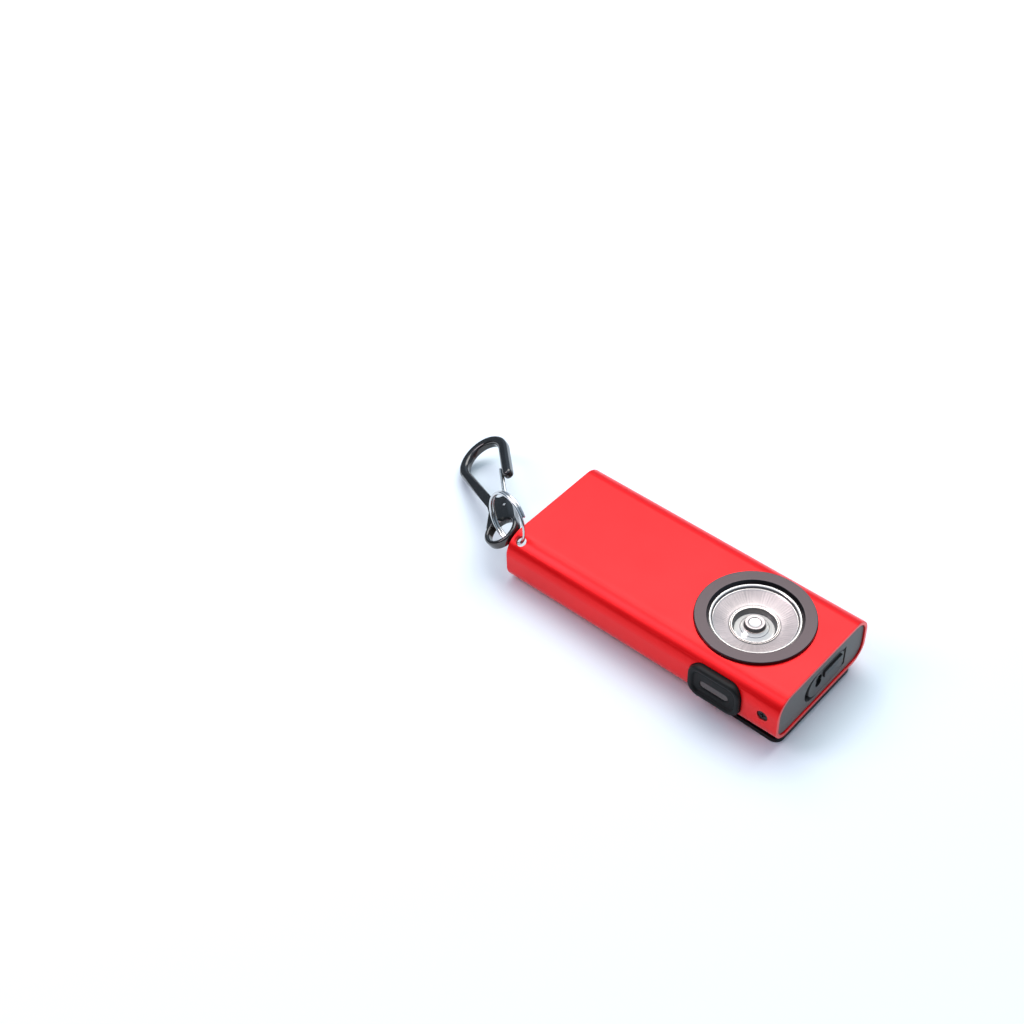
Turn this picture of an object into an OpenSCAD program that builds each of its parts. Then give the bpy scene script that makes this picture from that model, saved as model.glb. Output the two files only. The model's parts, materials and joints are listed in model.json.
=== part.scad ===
// Keychain flashlight: a flat aluminium sleeve with a lens in its top face,
// a side button, a covered charging port, a pocket clip, and a split ring
// with a small snap hook.
// Frame: origin at the centre of the sleeve's underside, +X towards the
// charging port, +Y away from the button side, +Z up through the lens.

/* [Body] */
// Length of the sleeve
body_l = 66.5; // [64:0.5:72]
// Width of the sleeve
body_w = 30; // [29.5:0.5:32]
// Height of the sleeve
body_h = 11.6; // [11.6:0.1:12.4]
// Corner radius along the top edges
top_r = 4.4; // [4:0.1:4.8]
// Corner radius along the bottom edges
bottom_r = 4.0; // [3.6:0.1:4.4]
// Thickness of the sleeve's wall
wall = 0.8; // [0.7:0.05:0.9]
// How far the end caps sit inside the sleeve's ends
cap_recess = 0.35; // [0.2:0.05:0.5]

/* [Light head] */
// Lens axis, ahead of the sleeve's centre
head_x = 17.2; // [16.5:0.1:17.5]
// Outer radius of the bezel
bezel_r = 11.85; // [11.5:0.05:12]
// Inner radius of the bezel's flat face
bezel_face_r = 9.4; // [9.2:0.05:9.6]
// Height of the bezel's face above the sleeve
bezel_rise = 0.7; // [0.5:0.05:0.9]

/* [Button] */
// Centre of the button along the sleeve
button_x = 19; // [18:0.25:19.5]
// Length of the button
button_l = 12; // [10:0.5:12.5]
// Height of the button
button_h = 8; // [7:0.25:8]
// How far the button stands out of the flank
button_proud = 0.8; // [0.5:0.1:1]
// Gap round the button
button_gap = 0.12; // [0.08:0.01:0.2]

/* [Charging port] */
// Centre of the port, off the sleeve's centre line
port_y = 2; // [1:0.25:2.5]
// Height of the port's centre
port_z = 5.2; // [5:0.1:5.4]
// Thickness of the rubber cover
cover_t = 1.0; // [0.8:0.05:1.1]

/* [Clip] */
// Width of the clip's arm
clip_w = 25.4; // [20:0.2:26]
// Thickness of the clip's spring steel
clip_t = 1.0; // [0.8:0.05:1]
// Clip's front end along the sleeve
clip_end_x = 32.6; // [28:0.2:33]

/* [Ring and hook] */
// Centre-line radius of the split ring
ring_r = 5.55; // [5.5:0.05:5.6]
// Diameter of the ring's wire
wire_d = 0.66; // [0.5:0.02:0.7]
// Thickness of the snap hook
hook_t = 2.0; // [1.9:0.1:2.1]
// Width of the hook's spine
spine_w = 2.1; // [1.9:0.1:2.2]
// Diameter of the gate's wire
gate_d = 0.6; // [0.5:0.05:0.65]

/* [Hidden] */

$fn = 64;
eps = 0.01;

// Sleeve
tail_x = -body_l / 2;
front_x = body_l / 2;
flank_y = body_w / 2;
flank_z = bottom_r;                         // the flat part of the flank starts here
inner_h = body_h - 2 * wall;
lanyard_pos = [-31.1, -12.8, 11.0];         // where the lanyard hole leaves the shoulder
lanyard_tilt = 29;                          // the hole is square to the shoulder
lanyard_r = 1.05;
lanyard_pocket_y = -8;                      // the tail cap is open from here to the near flank
lanyard_pocket_x = tail_x + 4.4;

// End caps
cap_fit = 0.05;
cap_wall = 1.2;
front_cap_back_x = 28.6;
front_cap_face_x = front_x - cap_recess;
tail_cap_back_x = tail_x + 5.9;
tail_cap_face_x = tail_x + cap_recess;
cap_screw_x = 29.8;
cap_screw_z = 6.2;
cap_screw_head_r = 1.1;
cap_screw_shank_r = 0.75;
cap_screw_end_y = 11.4;
cap_lug = [3.3, 3.4];                       // length and height of the lug behind each screw

// Light head, heights above the underside
bezel_top_z = body_h + bezel_rise;
bezel_seat_z = body_h - 0.3;
bezel_skirt_r = 10.9;
bezel_skirt_z = 9.9;
bezel_bore_r = 9.55;
bezel_lip_r = 8.95;
bezel_lip_z = bezel_seat_z + 0.05;
bezel_lip_top_z = bezel_seat_z + 0.4;
lens_flange_r = 9.5;
lens_flange_z = 10.2;
lens_flange_top_z = 10.95;
lens_rim_r = 8.85;
lens_bottom_z = 5.2;
star_r = 5;

// Boards
board_t = 0.8;
board_top_z = port_z - 1.65;
board_bottom_z = board_top_z - board_t;
star_top_z = board_top_z + 1.0;
emitter_top_z = star_top_z + 0.4;
post_places = [[7.5, -10.3], [7.5, 10.3], [26.6, -9.6], [26.6, 9.6]];

// Button
button_z = 5.6;
button_corner = 2.7;
button_back_y = -13.3;
button_front_y = -flank_y - button_proud;
button_dish = 0.5;
button_rim = 1.2;
window_l = 6.6;
window_h = 1.7;
window_z = 5.2;
window_front_y = button_front_y + button_dish + 0.1;
window_back_y = -14.2;
wing_y = -13.85;
wing_t = 0.5;
plunger_l = 2.0;
plunger_h = 1.2;
plunger_z = board_top_z + 1.3;
switch_size = [4.8, 3.0, 2.5];
switch_front_y = -12.0;
plunger_front_y = -12.75;

// Charging port
cover_h = 6.0;
cover_left_y = port_y - 6.1;
cover_end_r = cover_h / 2;
cover_hinge_y = port_y + 5.45;
cover_barrel_r = 0.5;
cover_barrel_l = 3.6;
cover_back_x = front_cap_face_x - cover_t;
cover_hinge_x = front_cap_face_x - cover_t / 2;
nail_gap = 1.3;                             // crescent beside the cover's free end
port_pocket_x = front_cap_face_x - 1.4;
socket_size = [6.1, 8.94, 3.26];
socket_front_x = port_pocket_x - 0.2;
socket_wall = 0.3;

// Clip, side profile in X and Z
clip_hinge_x = 12.3;
clip_hinge_z = -clip_t / 2;
clip_bend_x = 19;
clip_bend_drop = 1.05;
clip_end_drop = 1.67;
clip_corner_r = 2.0;
clip_base_w = 16;
clip_base_x = 3;
clip_screw_places = [[7.2, -5], [7.2, 5]];

// Battery
cell_size = [28.5, 22.4, 6.8];
cell_x = -25.5;
cell_z = 1.85;

// Split ring: its centre and the turns that lay its axis along +Z on the ring's own axis
ring_pos = [-35.66, -11.35, 13.54];
ring_turn = [0, 96, 78.1];
ring_crossover = [-115, -19];               // the one wire between the two full layers
ring_sides = 8;
ring_step = 9;                              // degrees between rings of the swept wire

// Snap hook, drawn flat about the centre of its eye, then laid in place
hook_pos = [-37.15, -11.61, 9.05];
hook_turn = [-32.8, 5.2, 136.9];
eye_r = 2.95;
eye_outer_r = 3.95;
spine_angle = 20;
loop_pos = [25.3, 1.8];
loop_r = 5.1;
nose_x = 15.6;
gate_pivot = [6.35, -1.85];
gate_end_x = 18.6;
gate_leg_z = 0.38;
gate_slot_z = 0.72;
gate_hole_r = gate_d / 2 + 0.05;

// ---- Shared shapes ----

// Cross-section of the sleeve, shrunk all round by inset: X is the sleeve's Y, Y its Z
module body_section(inset) {
  half_w = flank_y - inset;
  for (side = [-1, 1]) {
    translate([side * (flank_y - top_r), body_h - top_r]) circle(r = top_r - inset);
    translate([side * (flank_y - bottom_r), bottom_r]) circle(r = bottom_r - inset);
  }
  translate([-half_w, bottom_r]) square([2 * half_w, body_h - top_r - bottom_r]);
  translate([-(flank_y - top_r), body_h - top_r]) square([2 * (flank_y - top_r), top_r - inset]);
  translate([-(flank_y - bottom_r), inset]) square([2 * (flank_y - bottom_r), bottom_r - inset]);
}

// A stretch of the body section from x0 to x1
module body_run(x0, x1, inset) {
  translate([x0, 0, 0]) rotate([90, 0, 90]) linear_extrude(x1 - x0) body_section(inset);
}

// Rectangle with round corners, centred
module rounded_rect(size, r) {
  square([size[0] - 2 * r, size[1]], center = true);
  square([size[0], size[1] - 2 * r], center = true);
  for (sx = [-1, 1], sy = [-1, 1])
    translate([sx * (size[0] / 2 - r), sy * (size[1] / 2 - r)]) circle(r = r);
}

// Slot with round ends between two X values
module slot_2d(x0, x1, h) {
  translate([x0 + h / 2, -h / 2]) square([x1 - x0 - h, h]);
  for (x = [x0 + h / 2, x1 - h / 2]) translate([x, 0]) circle(d = h);
}

// Slot that lies across the front end: Y from y0 to y1, depth from x0 to x1
module end_slot(x0, x1, y0, y1, h) {
  translate([x0, 0, port_z]) rotate([90, 0, 90]) linear_extrude(x1 - x0) slot_2d(y0, y1, h);
}

// Outline on the near flank, extruded from y0 to y1
module flank_run(y0, y1) {
  translate([0, y1, 0]) rotate([90, 0, 0]) linear_extrude(y1 - y0) children();
}

module button_outline(grow) {
  translate([button_x, button_z])
    rounded_rect([button_l + 2 * grow, button_h + 2 * grow], button_corner + grow);
}

module window_outline(grow) {
  translate([0, window_z])
    slot_2d(button_x - window_l / 2 - grow, button_x + window_l / 2 + grow, window_h + 2 * grow);
}

// Cylinder along Y between two Y values
module y_pin(x, z, r, y0, y1) {
  translate([x, y0, z]) rotate([-90, 0, 0]) cylinder(r = r, h = y1 - y0);
}

// ---- Housing ----

module lanyard_hole(r) {
  translate(lanyard_pos) rotate([lanyard_tilt, 0, 0]) translate([0, 0, -1.6]) cylinder(r = r, h = 3);
}

module sleeve() {
  color("crimson") difference() {
    body_run(tail_x, front_x, 0);
    body_run(tail_x - 1, front_x + 1, wall);
    translate([head_x, 0, bezel_seat_z]) cylinder(r = bezel_r + 0.08, h = 2);
    translate([head_x, 0, body_h - 2]) cylinder(r = bezel_skirt_r + 0.08, h = 4);
    flank_run(-flank_y - 1, -12.4) button_outline(button_gap);
    for (side = [-1, 1])
      y_pin(cap_screw_x, cap_screw_z, cap_screw_head_r + 0.1, side * flank_y - 1, side * flank_y + 1);
    lanyard_hole(lanyard_r);
    for (p = clip_screw_places) translate([p[0], p[1], -1]) cylinder(r = 0.85, h = 3);
  }
}

module front_cap() {
  color("dimgray") difference() {
    union() {
      difference() {
        body_run(front_cap_back_x, front_cap_face_x, wall + cap_fit);
        body_run(front_cap_back_x - 1, port_pocket_x - 1.1, wall + cap_fit + cap_wall);
      }
      for (side = [-1, 1])
        translate([front_cap_back_x, side * 12.4 - 1.6, cap_screw_z - cap_lug[1] / 2])
          cube([cap_lug[0], 3.2, cap_lug[1]]);
    }
    end_slot(port_pocket_x, front_x, cover_left_y - nail_gap, cover_hinge_y + 0.75, cover_h + 0.24);
    end_slot(front_cap_back_x - 1, front_x, port_y - 4.65, port_y + 4.65, 3.6);
    translate([port_pocket_x, cover_hinge_y - 0.9, port_z - 2.5]) cube([3, 1.7, 5]);
    for (side = [-1, 1])
      y_pin(cap_screw_x, cap_screw_z, cap_screw_shank_r + cap_fit, side * 13 - 2.5, side * 13 + 2.5);
  }
}

module tail_cap() {
  color("dimgray") difference() {
    body_run(tail_cap_face_x, tail_cap_back_x, wall + cap_fit);
    translate([tail_x - 1, -20, -1])
      cube([lanyard_pocket_x - tail_x + 1, 20 + lanyard_pocket_y, body_h + 2]);
  }
}

module cap_screws() {
  color("black") for (side = [-1, 1]) mirror([0, side < 0 ? 1 : 0, 0]) difference() {
    union() {
      y_pin(cap_screw_x, cap_screw_z, cap_screw_head_r, flank_y - wall - 0.05, flank_y - 0.3);
      y_pin(cap_screw_x, cap_screw_z, cap_screw_shank_r, cap_screw_end_y, flank_y - wall);
    }
    for (turn = [0, 90]) translate([cap_screw_x, flank_y - 0.3, cap_screw_z])
      rotate([0, turn, 0]) cube([1.3, 0.6, 0.3], center = true);
  }
}

// ---- Light head ----

module head_ring(points) {
  translate([head_x, 0, 0]) rotate_extrude() polygon(points);
}

module bezel() {
  edge = 0.15;
  color("gray") head_ring([
    [bezel_face_r, bezel_top_z], [bezel_r - edge, bezel_top_z], [bezel_r, bezel_top_z - edge],
    [bezel_r, bezel_seat_z], [bezel_skirt_r, bezel_seat_z], [bezel_skirt_r, bezel_skirt_z],
    [bezel_bore_r, bezel_skirt_z], [bezel_bore_r, bezel_lip_z], [bezel_lip_r, bezel_lip_z],
    [bezel_lip_r, bezel_lip_top_z]
  ]);
}

module lens() {
  color("gainsboro") head_ring([
    [0, 6.7], [1.5, 6.6], [1.75, lens_bottom_z], [2.9, lens_bottom_z],
    [8.3, lens_flange_z], [lens_flange_r, lens_flange_z], [lens_flange_r, lens_flange_top_z],
    [lens_rim_r, lens_flange_top_z], [lens_rim_r, 11.6], [8.7, 11.7], [8.1, 10.9],
    [5.0, 9.6], [4.8, 9.75], [4.5, 9.6], [4.2, 8.9], [3.6, 8.2], [2.2, 7.9], [2.1, 9.6],
    [1.8, 10.1], [1.2, 10.5], [0.6, 10.7], [0, 10.75]
  ]);
}

module lens_gasket() {
  color("black") head_ring([
    [bezel_lip_r, lens_flange_top_z], [lens_flange_r, lens_flange_top_z],
    [lens_flange_r, bezel_lip_z], [bezel_lip_r, bezel_lip_z]
  ]);
}

module lens_holder() {
  color("white") head_ring([
    [3.1, star_top_z], [4.2, star_top_z], [4.2, 4.95], [8.9, 9.4], [9.45, 9.6],
    [9.45, lens_flange_z], [8.42, lens_flange_z], [3.1, lens_bottom_z + 0.07]
  ]);
}

module led_board() {
  color("silver") translate([head_x, 0, board_top_z]) difference() {
    cylinder(r = star_r, h = star_top_z - board_top_z);
    for (side = [-1, 1]) translate([0, side * star_r, -1]) cylinder(r = 0.9, h = 3);
  }
}

module led_emitter() {
  color("gold") translate([head_x, 0, star_top_z]) {
    translate([-1.6, -1.6, 0]) cube([3.2, 3.2, emitter_top_z - star_top_z]);
    intersection() {
      translate([0, 0, 0.4]) sphere(r = 1.1);
      cylinder(r = 1.2, h = 2);
    }
  }
}

// ---- Electronics ----

module main_board() {
  color("darkgreen") difference() {
    union() {
      translate([4.8, -12.2, board_bottom_z]) cube([23.6, 24.4, board_t]);
      translate([28.4, -10.2, board_bottom_z]) cube([1.8, 20.4, board_t]);
    }
    for (p = post_places) translate([p[0], p[1], board_bottom_z - 1]) cylinder(r = 0.85, h = 3);
  }
}

module driver_parts() {
  color("black") {
    translate([6.2, 4.6, board_top_z]) cube([4, 4, 1.8]);
    translate([6.6, -8.6, board_top_z]) cube([3, 3, 0.9]);
    translate([24.3, -8.8, board_top_z]) cube([2.2, 4.2, 0.7]);
  }
}

module usb_socket() {
  half_l = socket_size[1] / 2;
  color("silver") {
    difference() {
      end_slot(socket_front_x - socket_size[0], socket_front_x, port_y - half_l, port_y + half_l, socket_size[2]);
      end_slot(socket_front_x - socket_size[0] + 0.6, socket_front_x + 1, port_y - half_l + socket_wall,
               port_y + half_l - socket_wall, socket_size[2] - 2 * socket_wall);
    }
    translate([socket_front_x - socket_size[0] + 0.5, port_y - 3.3, port_z - 0.3])
      cube([socket_size[0] - 1.7, 6.6, 0.6]);
  }
}

module port_cover() {
  bar = [0.5, 6.0, 1.5];
  color("dimgray") difference() {
    union() {
      intersection() {
        end_slot(cover_back_x, front_cap_face_x, cover_left_y, cover_hinge_y + 0.6, cover_h);
        translate([cover_back_x - 1, cover_left_y - 1, 0])
          cube([cover_t + 2, cover_hinge_y - cover_left_y + 1, body_h]);
      }
      translate([cover_hinge_x, cover_hinge_y, port_z - cover_barrel_l / 2])
        cylinder(r = cover_barrel_r, h = cover_barrel_l);
      translate([front_cap_face_x - 0.1, port_y - 1.7, port_z + 0.9])
        cube([bar[0] + 0.1, bar[1], bar[2]]);
      end_slot(cover_back_x - 0.6, cover_back_x + 0.1, port_y - 3.6, port_y + 3.6, 1.9);
    }
    translate([front_cap_face_x - 0.6, port_y - 2.9, port_z + 1.3]) rotate([0, 90, 0]) cylinder(r = 0.95, h = 2);
    translate([front_cap_face_x - 0.6, port_y - 2.9, port_z + 0.1]) rotate([0, 90, 0]) cylinder(r = 0.95, h = 2);
  }
}

// ---- Button and switch ----

module side_switch() {
  color("dimgray") difference() {
    translate([button_x - switch_size[0] / 2, switch_front_y, board_top_z]) cube(switch_size);
    translate([button_x - plunger_l / 2 - 0.06, switch_front_y - 1, plunger_z - plunger_h / 2 - 0.06])
      cube([plunger_l + 0.12, 2.4, plunger_h + 0.12]);
  }
}

module switch_plunger() {
  color("white") translate([button_x - plunger_l / 2, plunger_front_y, plunger_z - plunger_h / 2])
    cube([plunger_l, switch_front_y + 0.9 - plunger_front_y, plunger_h]);
}

module button_cap() {
  color("darkslategray") difference() {
    union() {
      flank_run(button_front_y, button_back_y) button_outline(0);
      translate([button_x - button_l / 2 - 1, wing_y, 4.2]) cube([button_l + 2, wing_t, 3]);
      translate([button_x - 1.5, button_back_y - 0.3, plunger_z - 1]) cube([3, plunger_front_y - button_back_y + 0.3, 2]);
    }
    flank_run(button_front_y - 1, button_front_y + button_dish) button_outline(-button_rim);
    flank_run(button_front_y - 1, window_back_y) window_outline(0);
    for (side = [-1, 1])
      y_pin(button_x + side * 2.5, window_z, 0.5, window_back_y - 1, button_back_y + 1);
  }
}

module indicator_window() {
  color("rosybrown") flank_run(window_front_y, window_back_y) window_outline(0);
}

module indicator_leds() {
  color("white") for (side = [-1, 1])
    translate([button_x + side * 3.6 - 0.8, -12.1, board_top_z]) cube([1.6, 0.9, 0.6]);
}

// ---- Chassis and battery ----

module chassis() {
  floor_z = wall + 0.15;
  floor_t = 0.8;
  color("black") difference() {
    union() {
      translate([-27, -11.7, floor_z]) cube([55, 23.4, floor_t]);
      for (side = [-1, 1])
        translate([-26.8, side * 12.1 - 0.5, floor_z + 0.4]) cube([30.6, 1.0, 5]);
      for (p = post_places) {
        translate([p[0], p[1], floor_z]) cylinder(r = 1.6, h = board_bottom_z - floor_z);
        translate([p[0], p[1], floor_z]) cylinder(r = 0.8, h = board_top_z - floor_z + 0.3);
      }
    }
    for (p = clip_screw_places) translate([p[0], p[1], 0]) cylinder(r = 0.7, h = 5);
  }
}

module battery_cell() {
  color("silver") translate([cell_x, 0, cell_z + cell_size[2] / 2]) rotate([90, 0, 90])
    linear_extrude(cell_size[0]) rounded_rect([cell_size[1], cell_size[2]], 1.6);
}

module protection_board() {
  color("goldenrod") translate([cell_x + cell_size[0], -7, 3.9]) cube([0.8, 14, 3.2]);
}

module battery_pad() {
  color("black") translate([cell_x + 3, -8, cell_z + cell_size[2]]) cube([22, 16, body_h - wall - cell_z - cell_size[2] - 0.1]);
}

// Two leads that run forward from the cell's board and bend down to the main board
module battery_leads() {
  bend_r = 1.4;
  wire_r = 0.4;
  start_x = cell_x + cell_size[0] + 0.8;
  bend_x = 5.0;
  color("red") for (y = [-1.6, 1.6]) {
    translate([start_x, y, board_top_z + bend_r]) rotate([0, 90, 0]) cylinder(r = wire_r, h = bend_x - start_x);
    translate([bend_x, y, board_top_z]) rotate([90, 0, 0]) rotate_extrude(angle = 90)
      translate([bend_r, 0]) circle(r = wire_r, $fn = 24);
  }
}

// ---- Clip ----

module clip_base() {
  color("black") difference() {
    translate([clip_base_x, -clip_base_w / 2, -clip_t])
      cube([clip_hinge_x - clip_base_x - 0.2, clip_base_w, clip_t]);
    translate([clip_hinge_x, 0, clip_hinge_z]) rotate([90, 0, 0])
      cylinder(r = clip_t / 2 + 0.03, h = clip_base_w + 2, center = true);
    for (p = clip_screw_places) translate([p[0], p[1], -clip_t - 1]) {
      cylinder(r = 1.4, h = 1.5);
      cylinder(r = 0.85, h = 4);
    }
  }
}

module clip_arm() {
  nose_r = clip_t / 2 - 0.03;
  top_z = -0.1;
  plate_x = clip_hinge_x + 1.4;
  color("black") {
    rotate([90, 0, 0]) translate([clip_hinge_x, clip_hinge_z, 0])
      cylinder(r = nose_r, h = clip_base_w, center = true);
    intersection() {
      rotate([90, 0, 0]) linear_extrude(clip_w + 2, center = true) polygon([
        [clip_hinge_x, top_z], [plate_x, top_z], [clip_bend_x, -clip_bend_drop], [clip_end_x + 1, -clip_end_drop],
        [clip_end_x + 1, -clip_end_drop - clip_t], [clip_bend_x, -clip_bend_drop - clip_t],
        [plate_x, -clip_t - 0.15], [clip_hinge_x, -clip_t + 0.1]
      ]);
      translate([0, 0, -6]) linear_extrude(8) {
        translate([(plate_x + clip_end_x) / 2, 0]) rounded_rect([clip_end_x - plate_x, clip_w], clip_corner_r);
        translate([clip_hinge_x - 1, -clip_base_w / 2]) square([5, clip_base_w]);
      }
    }
  }
}

module clip_screws() {
  color("black") for (p = clip_screw_places) translate([p[0], p[1], 0]) difference() {
    union() {
      translate([0, 0, -clip_t]) cylinder(r = 1.3, h = 0.5);
      translate([0, 0, -clip_t]) cylinder(r = 0.65, h = clip_t + 1.7);
    }
    for (turn = [0, 90]) translate([0, 0, -clip_t]) rotate([0, 0, turn]) cube([1.5, 0.3, 0.5], center = true);
  }
}

// ---- Ring and hook ----

// The wire runs one layer round, crosses over, and runs the other layer round
function ring_layer(a) =
  let (s = (a - ring_crossover[0]) / (ring_crossover[1] - ring_crossover[0]))
  (wire_d / 2) * (s <= 0 ? -1 : s >= 1 ? 1 : -cos(180 * s));

function ring_point(a, side) =
  let (rr = ring_r + wire_d / 2 * cos(side), z = ring_layer(a) + wire_d / 2 * sin(side))
  [rr * cos(a), rr * sin(a), z];

module split_ring() {
  turn = 360 - (ring_crossover[1] - ring_crossover[0]) - 12;
  first = ring_crossover[0] - turn;
  count = round((ring_crossover[1] + turn - first) / ring_step);
  step = (ring_crossover[1] + turn - first) / count;
  points = [for (i = [0:count], j = [0:ring_sides - 1])
    ring_point(first + i * step, (j + 0.5) * 360 / ring_sides)];
  skin = [for (i = [0:count - 1], j = [0:ring_sides - 1])
    let (k = (j + 1) % ring_sides, a = i * ring_sides, b = a + ring_sides) [a + j, a + k, b + k, b + j]];
  start_cap = [[for (j = [ring_sides - 1:-1:0]) j]];
  end_cap = [[for (j = [0:ring_sides - 1]) count * ring_sides + j]];
  color("silver") translate(ring_pos) rotate(ring_turn) polyhedron(points, concat(skin, start_cap, end_cap));
}

// Flat plate of the hook's thickness
module plate() {
  linear_extrude(hook_t, center = true) children();
}

// Straight bar of the hook from p, len long, turned by angle
module bar(p, len, angle) {
  translate(p) rotate(angle) translate([0, -spine_w / 2, -hook_t / 2]) cube([len, spine_w, hook_t]);
}

module hook_plate() {
  bend_start = 90 + spine_angle;
  spine_l = 16.7;
  spine_end = loop_pos + loop_r * [cos(bend_start), sin(bend_start)];
  cylinder(r = eye_outer_r, h = hook_t, center = true);
  plate() polygon([[0.5, 3.6], [3.2, 2.9], [6.6, 2.0], [9.5, 2.3], [11.9, 2.4], [11.2, 1.3], [9.4, -0.8], [8.7, -3.2],
                   [7.4, -3.6], [1.0, -3.8]]);
  bar(spine_end - spine_l * [cos(spine_angle), sin(spine_angle)], spine_l, spine_angle);
  translate(loop_pos) rotate(-90) rotate_extrude(angle = 180 + spine_angle)
    translate([loop_r - spine_w / 2, -hook_t / 2]) square([spine_w, hook_t]);
  bar([nose_x + spine_w / 2, loop_pos[1] - loop_r], loop_pos[0] - nose_x - spine_w / 2, 0);
  translate([nose_x + spine_w / 2, loop_pos[1] - loop_r, 0]) cylinder(d = spine_w, h = hook_t, center = true);
}

module in_hook() {
  translate(hook_pos) rotate(hook_turn) children();
}

module hook_body() {
  color("darkslategray") in_hook() difference() {
    hook_plate();
    cylinder(r = eye_r, h = 2 * hook_t, center = true);
    translate([gate_pivot[0] - 0.9, -6, -gate_slot_z]) cube([9, 5.9, 2 * gate_slot_z]);
    translate(gate_pivot) cylinder(r = gate_hole_r, h = 2 * hook_t, center = true);
  }
}

module hook_gate() {
  r = gate_d / 2;
  leg_l = gate_end_x - gate_pivot[0];
  color("silver") in_hook() translate(gate_pivot) {
    for (side = [-1, 1]) {
      translate([0, 0, side * gate_leg_z]) rotate([0, 90, 0]) cylinder(r = r, h = leg_l);
      translate([0, 0, side * gate_leg_z]) sphere(r = r);
      translate([0, 0, side > 0 ? gate_leg_z : -hook_t / 2]) cylinder(r = r, h = hook_t / 2 - gate_leg_z);
      translate([leg_l, 0, side * gate_leg_z]) sphere(r = r);
    }
    translate([leg_l, 0, -gate_leg_z]) cylinder(r = r, h = 2 * gate_leg_z);
  }
}

sleeve();
front_cap();
tail_cap();
cap_screws();
bezel();
lens();
lens_gasket();
lens_holder();
led_emitter();
led_board();
main_board();
driver_parts();
usb_socket();
port_cover();
side_switch();
switch_plunger();
button_cap();
indicator_window();
indicator_leds();
chassis();
battery_cell();
protection_board();
battery_pad();
battery_leads();
clip_base();
clip_arm();
clip_screws();
split_ring();
hook_body();
hook_gate();
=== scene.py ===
"""The looks of the keychain flashlight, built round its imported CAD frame.

Shapes are worked out in millimetres in the CAD frame and turned into metres
when a mesh is made. +X runs from the tail to the charging port, -Y is the
button side and +Z is up through the lens.
"""

import json
import math

import bmesh
import bpy
from mathutils import Matrix, Vector


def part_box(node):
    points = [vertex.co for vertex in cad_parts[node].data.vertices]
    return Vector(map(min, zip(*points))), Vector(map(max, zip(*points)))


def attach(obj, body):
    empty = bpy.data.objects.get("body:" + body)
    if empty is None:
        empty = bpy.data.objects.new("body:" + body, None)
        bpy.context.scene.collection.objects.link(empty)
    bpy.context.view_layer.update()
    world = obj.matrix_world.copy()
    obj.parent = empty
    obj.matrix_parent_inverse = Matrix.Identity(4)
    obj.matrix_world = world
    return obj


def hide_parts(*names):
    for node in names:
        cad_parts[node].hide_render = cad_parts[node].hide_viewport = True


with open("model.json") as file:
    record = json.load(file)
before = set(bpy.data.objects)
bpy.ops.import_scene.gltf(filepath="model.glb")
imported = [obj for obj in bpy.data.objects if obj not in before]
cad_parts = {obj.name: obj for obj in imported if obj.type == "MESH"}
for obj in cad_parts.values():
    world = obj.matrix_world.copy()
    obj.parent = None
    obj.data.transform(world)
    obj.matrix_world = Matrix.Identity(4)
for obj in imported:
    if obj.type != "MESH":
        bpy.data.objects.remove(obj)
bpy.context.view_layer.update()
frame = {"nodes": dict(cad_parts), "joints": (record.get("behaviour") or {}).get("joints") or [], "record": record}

MM = 0.001


def box_mm(node):
    """Lowest and highest corner of a CAD node, in millimetres."""
    low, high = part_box(node)
    return low / MM, high / MM


# ---- Sizes that the boxes give ----

sleeve_low, sleeve_high = box_mm("sleeve")
bezel_low, bezel_high = box_mm("bezel")
lens_low, lens_high = box_mm("lens")
button_low, button_high = box_mm("button_cap")
window_low, window_high = box_mm("indicator_window")
clip_low, clip_high = box_mm("clip_arm")
screw_low, screw_high = box_mm("cap_screws")

tail_x, front_x = sleeve_low.x, sleeve_high.x
half_w, body_h = sleeve_high.y, sleeve_high.z
head = Vector(((bezel_low.x + bezel_high.x) / 2, 0.0, 0.0))
bezel_r = (bezel_high.x - bezel_low.x) / 2
bezel_top = bezel_high.z

# ---- Sizes that they don't give, in millimetres and degrees ----

# The innermost radius of a turned cutter. It leaves a core of twice that width standing in each hole.
AXIS_R = 0.001

# The sleeve's extruded section.
TOP_R = 4.4
BOTTOM_R = 4.0
WALL = 0.8

# The button's outline, the gap round it and the plane of its back.
BUTTON_SIZE = (12.0, 8.0)
BUTTON_CORNER = 2.7
BUTTON_GAP = 0.12
BUTTON_BACK = -13.3

# How far the bezel's seat lies below its top, and how far inside its edge lie the ends of its face
# and lip and the two walls of its lower part.
SEAT_DEPTH = 1.0
BEZEL_FACE_IN = 2.45
BEZEL_LIP_IN = 2.9
BEZEL_BORE_IN = 2.3
BEZEL_SKIRT_IN = 0.95

# The hole for the ring, which goes through the tail's near shoulder.
LANYARD = Vector((-31.1, -12.8, 11.0))
LANYARD_TILT = math.radians(29)
LANYARD_R = 1.05

# The split ring, the angles between which its wire changes layers, and the gap that its ends leave.
RING_CENTRE = Vector((-35.66, -11.35, 13.54))
RING_TURN = (0.0, 96.0, 78.1)
RING_R = 5.545
WIRE_D = 0.64
CROSSOVER = (-115.0, -19.0)
END_GAP = 12.0

# How round the hook's outlines are on its loop, and within EYE_REACH of the point it swings about.
# Within NECK_REACH of the gate's pivot they stay sharp, because the wall beside its slot is thin.
LOOP_ROUND = 0.6
EYE_ROUND = 0.42
EYE_REACH = 6.5
NECK_REACH = 5.0

# How far the bar stands proud of the port cover, and the pit of two lobes beside it. The bar and the pit get
# painted shade.
COVER_BAR_H = 0.5
PIT_FROM_END = 3.2
PIT_LOBES = (1.3, 0.1)
PIT_REACH = 1.0


# ---- Meshes ----


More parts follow.
